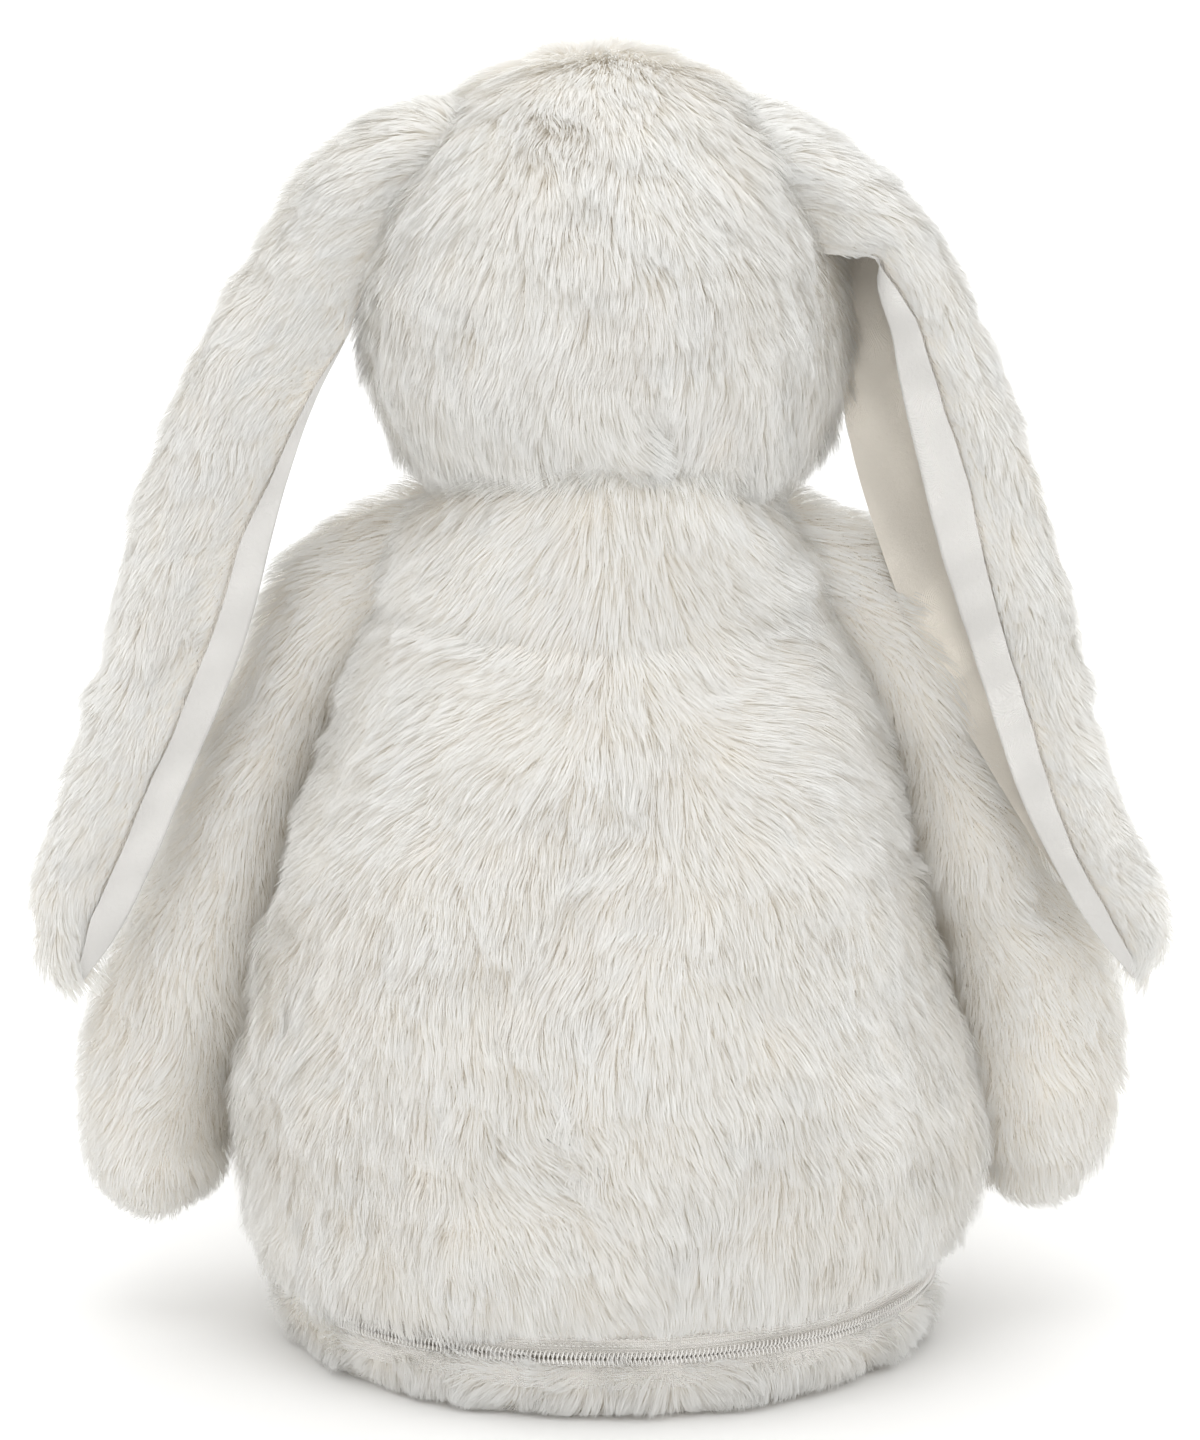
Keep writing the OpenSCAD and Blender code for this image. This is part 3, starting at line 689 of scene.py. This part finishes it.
def thread_mesh(name, lines, radius, finish, sides=7):
    """Tubes along several lines of points, closed at both ends, as one mesh."""
    points, quads = [], []
    turn = np.arange(sides) * 2 * math.pi / sides
    for line in lines:
        line = np.asarray(line, float)
        ahead = unit(np.gradient(line, axis=0))
        side = unit(np.cross(ahead, np.array([0.31, 0.22, 0.93])))
        upward = np.cross(ahead, side)
        width = radius * np.ones(len(line))
        width[[0, -1]] *= 0.35
        start = len(points)
        for centre, s, u, w in zip(line, side, upward, width):
            points += [tuple(centre + w * (s * math.cos(a) + u * math.sin(a))) for a in turn]
        for low in range(start, len(points) - sides, sides):
            high = low + sides
            quads += [(low + k, low + (k + 1) % sides, high + (k + 1) % sides, high + k) for k in range(sides)]
        quads.append(tuple(range(start + sides - 1, start - 1, -1)))
        quads.append(tuple(range(len(points) - sides, len(points))))
    mesh = bpy.data.meshes.new(name)
    mesh.from_pydata(points, [], quads)
    return place(name, mesh, finish)


def nose_rows():
    """Upright satin stitches side by side over a rounded, padded triangle."""
    for across in np.linspace(-24, 24, 37):
        share = abs(across) / 24
        top = NOSE_TURN + 12 * math.sqrt(1 - 0.8 * share ** 2)
        foot = NOSE_TURN - 12 * (1 - share ** 1.3)
        up = np.linspace(foot, top, 9)
        crowned = np.clip(1 - ((up - (top + foot) / 2) / 13) ** 2 - 0.75 * share ** 2, 0, 1)
        yield on_muzzle(across * np.ones(9), up, MUZZLE_R + 0.0006 + 0.0026 * np.sqrt(crowned))


nose = thread_mesh("nose_satin_stitches", nose_rows(), THREAD_R * 0.62, satin.material)
mouth_lines = [on_muzzle(np.zeros(8), np.linspace(10, -16, 8), MUZZLE_R * np.ones(8))]
for side in (1, -1):
    bow = np.linspace(0, 1, 12)
    drop = -17 - 9 * np.sin(math.pi * 0.62 * bow)
    mouth_lines.append(on_muzzle(side * 24 * bow, drop, MUZZLE_R * np.ones(12)))
mouth = thread_mesh("mouth_stitches", mouth_lines, THREAD_R, satin.material)
for piece, node in ((nose, "nose_stitching"), (mouth, "mouth_stitching")):
    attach(piece, "head")
    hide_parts(node)

gloss = Finish("eye_gloss", Roughness=0.06, Coat_Weight=1.0, Coat_Roughness=0.02)
iris = gloss.noise(160, 2)
gloss.colour(gloss.mix(iris, (0.012, 0.007, 0.005), (0.028, 0.014, 0.009)))
washer_white = Finish("washer_plastic", Roughness=0.5)
grain = washer_white.noise(400, 2)
washer_white.colour(washer_white.mix(grain, (0.82, 0.82, 0.80), (0.88, 0.88, 0.86))).bump(grain, 0.0002, 0.3)


def refinish(node, material):
    """Gives a CAD node that stays another material."""
    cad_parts[node].data.materials.clear()
    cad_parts[node].data.materials.append(material)


for side in ("left", "right"):
    refinish(f"{side}_eye", gloss.material)
    refinish(f"{side}_eye_washer", washer_white.material)

# ---- Ears ----
# Each ear is a long piece of fur fabric lined with smooth brushed knit, folded lengthwise and sewn
# into the head's side. The lining is cut wider, so a band of it rolls out round the near edge.

EAR_ROWS = 74
EAR_COLUMNS = 49
EAR_FOLD = EAR_COLUMNS // 2
FOLD_POWER = 1.35
LINING_GAP = 0.0009

# Millimetres out from the middle and up from the floor, from the head to the tip. The band is how
# much lining shows at the near edge, against the share of the ear's length.
EAR_SHAPES = {
    "left": {
        "outer": [(30, 368), (46, 378), (63, 373.5), (78, 362.5), (89, 350), (99, 337), (108, 323), (119, 300),
                  (130, 275), (139, 250), (149.5, 201), (161, 166), (168, 145), (168, 127), (160, 113)],
        "near": [(30, 352), (46, 352), (58, 343), (67, 333), (76, 312), (87, 290), (98, 255), (107, 220),
                 (124, 178), (148, 126), (157, 114)],
        "far": [(30, 352), (46, 352), (58, 343), (70, 328), (82, 306), (95, 282), (110, 236), (126, 190),
                (143, 148), (152, 124), (157, 114)],
        "band": ((0.24, 0.43, 0.5, 0.92, 1), (0, 6, 10, 10, 3)),
    },
    "right": {
        "outer": [(26, 368), (40, 378), (54, 373), (74, 361), (85.5, 349), (95, 336), (101, 324), (112.5, 300),
                  (123, 275), (129, 250), (142, 201), (148, 176), (155, 152), (165, 137), (169, 126), (161, 114)],
        "near": [(28, 344), (44, 342), (64, 337), (82, 335), (84.5, 322), (87.5, 299), (95, 267), (101, 244),
                 (115, 198), (129, 161), (149, 126), (158, 115)],
        "far": [(28, 344), (44, 342), (60, 336), (68, 322), (70, 298), (72, 280), (81, 247), (91, 220),
                (110, 185), (140, 138), (158, 115)],
        "band": ((0.17, 0.24, 0.29, 0.45, 0.55, 0.7, 0.9, 1), (0, 10, 15, 15, 13, 10, 8, 3)),
    },
}


def plush_finish(name, lit, dim):
    """Smooth brushed knit, with painted light on the ears: the `lit` tone where it rolls out, and the warmer
    `dim` tone, painted shade, down in the fold.
    """
    made = Finish(name, Roughness=0.9, Sheen_Weight=0.12)
    rib = made.node("ShaderNodeTexWave", {"wave_type": "BANDS", "bands_direction": "DIAGONAL"},
                    {"Scale": 260.0, "Distortion": 2.5, "Detail": 2.0, "Detail Scale": 3.0})
    nap = made.noise(700, 3, 0.65)
    shade = made.noise(35, 3)
    fold = made.node("ShaderNodeSeparateXYZ", {}, {0: made.node("ShaderNodeTexCoord", out="UV")})
    # Mask for the painted shade: 1 on the lining's columns down in the fold, 0 on the band that rolls out
    deep = made.node("ShaderNodeMapRange", {}, {"Value": fold, "From Min": 0.8, "From Max": 0.74})
    knit = made.mix(shade * 0.5 + nap * 0.35, (0.86, 0.845, 0.82), (0.80, 0.785, 0.76))
    lit_and_shaded_tone = made.mix(deep, lit, dim)
    made.colour(made.mix(1.0, knit, lit_and_shaded_tone, "MULTIPLY")).bump(rib * 0.4 + nap, 0.0007, 0.55)
    return made.material


# Painted light on the ear lining: a lit tone for the rolled-out band, a warmer painted shade in the fold
ear_plush = plush_finish("ear_plush", (0.84, 0.84, 0.84), (1.0, 0.955, 0.88))


def ear_sheet(side, shape):
    """The folded sheet as rows of points from the far edge, round the fold, to the near edge."""
    outer, near, far = (smooth_line(shape[k], EAR_ROWS) / 1000 for k in ("outer", "near", "far"))
    sign = 1 if side == "left" else -1
    t = np.linspace(0, 1, EAR_ROWS)
    middle = np.interp(t, [0, 0.2, 1], [0.004, 0.008, 0.019])
    thick = np.interp(t, [0, 0.06, 0.14, 0.3, 0.6, 0.85, 1],
                      [0.005, 0.011, 0.0155, 0.011, 0.008, 0.006, 0.0015])
    across = np.linspace(-1, 1, EAR_COLUMNS)
    share = np.abs(across) ** FOLD_POWER
    round_fold = np.sqrt(1 - np.clip(1 - share / 0.3, 0, 1) ** 2)
    roll = round_fold * (1 - 0.3 * np.clip(share - 0.3, 0, 1) ** 1.5)
    rows = []
    for n, f, o, m, h in zip(near, far, outer, middle, thick):
        flat = o + (np.where(across[:, None] < 0, f, n) - o) * share[:, None]
        rows.append(np.stack([sign * flat[:, 0], m + h * np.sign(across) * roll, flat[:, 1]], -1))
    return np.array(rows)


def ear_lining(sheet, out, band, band_from):
    """The lining: close inside the fur, then a band of it that wraps round the near edge."""
    across, steps = np.linspace(0, 1, EAR_COLUMNS), np.linspace(0, 1, 12)
    wrap = []
    for points, outs, start, shown in zip(sheet, out, band_from, band):
        at, proud = 1 - steps * (1 - start), min(0.0022, 0.3 * shown + 0.0004)
        edge = points + outs * proud
        wrap.append(np.stack([np.interp(at, across, edge[:, k]) for k in range(3)], -1))
    return np.concatenate([sheet - out * LINING_GAP, np.array(wrap)], axis=1)


for side, shape in EAR_SHAPES.items():
    sign = 1 if side == "left" else -1
    seed = 700 if side == "left" else 740
    sheet = ear_sheet(side, shape)
    out = facing(sheet, sign)
    dents = 0.0014 * ripple(sheet, 0.05, seed) + 0.0006 * ripple(sheet, 0.018, seed + 1)
    sheet = sheet + out * dents[..., None]
    fold = sheet[:, EAR_FOLD]
    width = np.linalg.norm(sheet[:, -1] - fold, axis=-1)
    t = np.linspace(0, 1, EAR_ROWS)
    band = np.interp(t, *shape["band"]) / 1000
    bare = np.clip(band / np.maximum(width, 1e-4), 0, 0.9)
    band_from = 0.5 + 0.5 * (1 - bare) ** (1 / FOLD_POWER)
    cut = (float(np.linalg.norm(np.diff(sheet, axis=1), axis=-1).sum(1).max()),
           float(np.linalg.norm(np.diff(fold, axis=0), axis=-1).sum()))
    cover = cloth(f"{side}_ear_fur_cloth", sheet, fur_backing, sign)
    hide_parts(f"{side}_ear_fur")
    lining_grid = ear_lining(sheet, out, band, band_from)
    lining = cloth(f"{side}_ear_lining_cloth", lining_grid, ear_plush, -sign)
    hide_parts(f"{side}_ear_lining")
    flow = unit(np.gradient(fold, axis=0))
    furs = []
    halves = (("far", slice(0, EAR_FOLD + 1), 16000), ("near", slice(EAR_FOLD, EAR_COLUMNS), 38000))
    for layer, half, count in halves:
        roots, normals, along, over = scatter(sheet[:, half], out[:, half], count, seed + 2)
        over = over / 2 + (0.5 if layer == "near" else 0)
        start = np.interp(along, t, band_from)
        keep = over < start - 0.004
        roots, normals, along, over, start = (field[keep] for field in (roots, normals, along, over, start))
        comb = np.stack([np.interp(along, t, flow[:, k]) for k in range(3)], -1)
        comb[:, 0] += sign * 0.3 * (1 - along)
        short = np.clip((start - over) / 0.14, 0, 1) if layer == "near" else 1
        length = (0.013 - 0.002 * along) * (0.3 + 0.7 * short)
        lift = (30 + 12 * short, 9)
        furs += pile(f"{side}_ear_{layer}_fur", roots, normals, comb, length, seed + 3, lift=lift)
    for piece in (cover, lining, *furs):
        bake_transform(piece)
    min(float(fabric_area(sheet).sum()), cut[0] * cut[1])
    wide = (cut[0] + 0.03, cut[1])
    min(float(fabric_area(lining_grid).sum()), wide[0] * wide[1])

# ---- Arms ----
# Long flat-cut tubes of fur, softly stuffed and sewn shut, that hang from the shoulder seams and
# rest beside the body. The paws are the fullest part.

# Millimetres: out from the middle, forward of it, up, half width, half depth
ARM_LINES = {
    "left": [(40, 8, 244, 15, 15), (62, 10, 236, 17, 18), (84, 12, 216, 17, 20), (101, 13, 180, 15, 21),
             (116, 13, 140, 17, 23), (127.5, 13, 100, 20, 25), (135.5, 13, 66, 20, 26),
             (137, 13, 47, 18.5, 22), (137, 13, 37, 8, 11), (137, 13, 35, 0.4, 0.4)],
    "right": [(40, 8, 244, 15, 15), (62, 10, 236, 17, 18), (84, 12, 216, 17, 20), (102, 13, 180, 15, 21),
              (115, 13, 140, 19, 23), (129, 13, 102, 22.5, 25), (133, 13, 72, 21, 26),
              (131, 13, 52, 16.5, 21), (129, 13, 42, 8, 11), (129, 13, 40, 0.4, 0.4)],
}
PAW_END_ROW = 7


def tube(line, rows, columns, sign):
    """Rings of points about a smooth middle line whose rows hold two half widths as well."""
    path = smooth_line(line, rows) / 1000
    centre = path[:, :3] * (sign, -1, 1)
    ahead = unit(np.gradient(centre, axis=0))
    sideways = unit(np.cross(ahead, np.array([0, 1.0, 0])))
    deep = np.cross(sideways, ahead)
    turn = np.linspace(0, 2 * math.pi, columns)
    ring = [np.cos(turn)[None, :, None] * path[:, 3][:, None, None] * sideways[:, None],
            np.sin(turn)[None, :, None] * path[:, 4][:, None, None] * deep[:, None]]
    return centre[:, None] + ring[0] + ring[1], centre


def outward(grid, centre):
    """Outward directions of a tube, made to point away from its middle line, and which way round its
    cloth goes."""
    out = facing(grid)
    inside = (out * (grid - centre[:, None])).sum(-1).mean()
    return out if inside > 0 else -out, 1 if inside > 0 else -1


fill = Finish("fibre_fill", Roughness=1.0)
wisps = fill.noise(120, 5, 0.7)
fill.colour(fill.mix(wisps, (0.93, 0.93, 0.93), (0.82, 0.82, 0.81))).bump(wisps, 0.004, 0.8)
for side, sign in (("left", 1), ("right", -1)):
    seed = 800 if side == "left" else 840
    grid, centre = tube(ARM_LINES[side], 60, 57, sign)
    out, turned_way = outward(grid, centre)
    grid = grid + out * (0.0018 * ripple(grid, 0.05, seed))[..., None]
    skin = cloth(f"{side}_arm_cloth", grid, fur_backing, turned_way)
    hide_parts(f"{side}_arm_skin")
    roots, normals, along, _ = scatter(grid, out, 38000, seed + 1)
    flow = unit(np.gradient(centre, axis=0))
    comb = np.stack([np.interp(along, np.linspace(0, 1, 60), flow[:, k]) for k in range(3)], -1)
    comb[:, 0] += sign * 0.25
    length = 0.0125 - 0.003 * np.clip((along - 0.8) / 0.2, 0, 1)
    furs = pile(f"{side}_arm_fur", roots, normals, comb, length, seed + 2)
    inner_line = [(x, y, z + (12 if k >= PAW_END_ROW else 0), 0.72 * w, 0.72 * d)
                  for k, (x, y, z, w, d) in enumerate(ARM_LINES[side])]
    core, core_middle = tube(inner_line, 40, 33, sign)
    core = core + outward(core, core_middle)[0] * (0.002 * ripple(core, 0.02, seed + 4))[..., None]
    stuffing = cloth(f"{side}_arm_fibre", core, fill.material, turned_way)
    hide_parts(f"{side}_arm_stuffing")
    for piece in (skin, *furs, stuffing):
        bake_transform(piece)

# ---- Legs ----
# Two short stuffed feet that stick out in front, each with an oval pad of smooth plush let into
# its sole.

# Millimetres: out from the middle, forward of it, up, half width, half height
LEG_LINE = [(42, 88, 36, 12, 12), (44, 104, 32, 17, 17), (46, 122, 30, 19, 20), (46, 140, 31, 21, 23),
            (46, 152, 31, 22, 25), (46, 160, 31, 20, 22.5), (46, 163, 31, 17, 19)]
SOLE_Y = -0.1665
sole_plush = plush_finish("sole_plush", (0.95, 0.92, 0.88), (0.95, 0.92, 0.88))
for side, sign in (("left", 1), ("right", -1)):
    seed = 900 if side == "left" else 940
    path = smooth_line(LEG_LINE, 40) / 1000
    turn = np.linspace(0, 2 * math.pi, 57)
    x = sign * path[:, :1] + path[:, 3:4] * np.cos(turn)
    z = path[:, 2:3] + path[:, 4:5] * np.sin(turn)
    grid = np.stack([x, np.broadcast_to(-path[:, 1:2], x.shape), z], -1)
    centre = path[:, :3] * (sign, -1, 1)
    out, turned_way = outward(grid, centre)
    grid = grid + out * (0.0012 * ripple(grid, 0.04, seed))[..., None]
    grid[..., 2] = np.maximum(grid[..., 2], 0.004)
    skin = cloth(f"{side}_leg_cloth", grid, fur_backing, turned_way)
    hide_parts(f"{side}_leg_skin")
    roots, normals, along, _ = scatter(grid, out, 20000, seed + 1)
    comb = np.array([0, -0.7, -0.35]) * np.ones((len(roots), 1))
    length = 0.0095 - 0.004 * np.clip((along - 0.75) / 0.25, 0, 1)
    furs = pile(f"{side}_leg_fur", roots, normals, comb, length, seed + 2)
    ring = np.linspace(0, 1, 14)[:, None]
    bulge = -0.0022 * (1 - ring**2) + 0.003 * np.clip((ring - 0.86) / 0.14, 0, 1)
    pad_x = sign * 0.046 + 0.0185 * ring * np.cos(turn)
    pad_z = 0.031 + 0.0205 * ring * np.sin(turn)
    pad_grid = np.stack([pad_x, np.broadcast_to(SOLE_Y + bulge, pad_x.shape), pad_z], -1)
    pad = cloth(f"{side}_sole_cloth", pad_grid, sole_plush, 1 if facing(pad_grid)[5, 0, 1] < 0 else -1)
    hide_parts(f"{side}_sole_pad")
    core = centre[:, None] + 0.78 * (grid - centre[:, None])
    core[..., 1] += 0.003
    stuffing = cloth(f"{side}_leg_fibre", core, fill.material, turned_way)
    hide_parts(f"{side}_leg_stuffing")
    for piece in (skin, *furs, stuffing, pad):
        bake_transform(piece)

# ---- Zip ----
# A light coil zip, sewn between body and base round the back: two woven tapes, a nylon coil on
# each, stops at both ends, and an enamelled slider with its pull, all behind the cloth's edges.

ZIP_FIRST, ZIP_LAST = 35, 193
COIL_RING_R = 0.0989
COIL_LOOPS = 200
TAPE_R = 0.0986
STITCHES = 150
tape = Finish("woven_tape", Roughness=0.8)
turn_way = tape.node("ShaderNodeTexCoord", out="UV")
weft = tape.node("ShaderNodeTexWave", {"bands_direction": "X"},
                 {"Vector": turn_way, "Scale": 130.0, "Distortion": 0.6})
warp = tape.node("ShaderNodeTexWave", {"bands_direction": "Y"}, {"Vector": turn_way, "Scale": 4.2})
fluff = tape.noise(500, 3)
tape.colour(tape.mix(weft * 0.35 + fluff * 0.4, (0.90, 0.88, 0.85), (0.78, 0.74, 0.68)))
tape.bump(weft * 0.5 + warp, 0.0005, 0.7)
nylon = Finish("zip_nylon", Roughness=0.38)
streak = nylon.noise(800, 2)
nylon.colour(nylon.mix(streak, (0.90, 0.885, 0.86), (0.82, 0.80, 0.77)))
enamel = Finish("zip_enamel", Roughness=0.28, Coat_Weight=0.5)
worn = enamel.noise(300, 3)
enamel.colour(enamel.mix(worn, (0.88, 0.87, 0.85), (0.80, 0.79, 0.77))).bump(worn, 0.0001, 0.3)
around = np.linspace(ZIP_FIRST, ZIP_LAST, 159)
for name, body, edge, back in (("upper", "body", 0.0205, 0.0305), ("lower", "base", 0.0192, 0.0095)):
    heights = np.linspace(edge, back, 9)
    lean = np.abs(heights - SEAM_Z)
    profile = [(TAPE_R - 0.10 * off - 9 * off * off, z) for off, z in zip(lean, heights)]
    strip = turned(profile, around)
    ribbed = 0.00035 * np.cos(np.linspace(0, 5 * math.pi, 9))[:, None]
    strip = strip + (ribbed + 0.0005 * ripple(strip, 0.03, 31))[..., None] * unit(strip * (1, 1, 0))
    piece = cloth(f"zip_{name}_tape_cloth", strip, tape.material, -1 if name == "upper" else 1)
    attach(piece, body)
    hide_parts(f"zip_{name}_tape")
    lift = 1 if name == "upper" else -1
    turns = np.linspace(0, COIL_LOOPS, COIL_LOOPS * 9)
    bearing = np.radians(ZIP_FIRST + 1 + (ZIP_LAST - ZIP_FIRST - 2) * turns / COIL_LOOPS)
    swing = 2 * math.pi * turns
    r = COIL_RING_R + 0.0007 + 0.0006 * np.cos(swing)
    z = SEAM_Z + lift * (0.0011 + 0.0010 * np.sin(swing))
    wire = np.stack([r * np.cos(bearing), r * np.sin(bearing), z], -1)
    coil = thread_mesh(f"zip_{name}_coil_loops", [wire], 0.00028, nylon.material, 5)
    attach(coil, body)
    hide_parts(f"zip_{name}_coil")
rows = []
for height in (0.0238, 0.0258):
    for k in range(STITCHES):
        share = (k + np.linspace(0.1, 0.9, 4)) / STITCHES
        bearing = np.radians(ZIP_FIRST + 1.5 + (ZIP_LAST - ZIP_FIRST - 3) * share)
        bow = TAPE_R - 0.0003 + 0.0005 * np.sin(np.linspace(0, math.pi, 4)) - 9 * (height - SEAM_Z) ** 2
        rows.append(np.stack([bow * np.cos(bearing), bow * np.sin(bearing), np.full(4, height)], -1))
seam_thread = thread_mesh("zip_tape_stitches", rows, 0.00022, nylon.material, 5)
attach(seam_thread, "body")
for node, finish in (("zip_end_stops", nylon), ("zip_slider", enamel), ("zip_pull", enamel)):
    refinish(node, finish.material)

# ---- Fibre bags ----
# Loose polyester fibre in thin spun-cloth bags: a large one that fills the body and lifts out
# through the base, drawn shut with a gathered mouth underneath, and a small one in the head.

spun = Finish("liner_cloth", Roughness=0.85)
weave = spun.noise(1400, 2)
crease = spun.noise(55, 4)
spun.colour(spun.mix(crease, (0.90, 0.90, 0.90), (0.80, 0.80, 0.79))).bump(crease + weave * 0.15, 0.0022, 0.6)


def bag(name, profile, bodies, nodes, seed):
    """A bag turned from a profile, with slack folds, and its fill a little inside it."""
    for part, inset, finish, slot, node in ((f"{name}_bag", 0, spun, "liner_cloth", nodes[0]),
                                            (f"{name}_fibre", 0.0022, fill, "fibre_fill", nodes[1])):
        grid = turned([(max(r - inset, 0), z) for r, z in profile], np.linspace(0, 360, 97))
        grid[..., 2] = grid[..., 2].mean() + (grid[..., 2] - grid[..., 2].mean()) * (1 - inset * 12)
        out = facing(grid, -1)
        around = np.linspace(0, 2 * math.pi, 97)
        gathers = 0.0012 * np.cos(26 * around) * np.clip(1 - grid[..., 2] / 0.02, 0, 1)
        grid = grid + out * (0.0009 * ripple(grid, 0.03, seed) + gathers)[..., None]
        piece = cloth(part, grid, finish.material, -1)
        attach(piece, bodies)
        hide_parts(node)


tied = [(0.0, 0.0075), (0.006, 0.0062), (0.012, 0.0082), (0.03, 0.0062), (0.06, 0.0058),
        (0.078, 0.0068), (0.087, 0.013)]
wall = [(body_radius(z) - 0.0145, z) for z in np.linspace(0.03, 0.225, 40)]
sewn = [(0.04, 0.232), (0.02, 0.231), (0.0, 0.230)]
bag("body_pod", tied + wall + sewn, "body", ("body_pod_liner", "body_pod_fill"), 61)
HEAD_POD_Z = HEAD_EDGE_Z + 0.018
inner = [(r * 0.9, HEAD_POD_Z + (z - HEAD_EDGE_Z) * 0.83) for r, z in head_profile(0.011)[4:]]
foot = [(0, HEAD_POD_Z), (0.03, HEAD_EDGE_Z + 0.017)]
bag("head_pod", foot + inner, "head", ("head_pod_liner", "head_pod_fill"), 62)
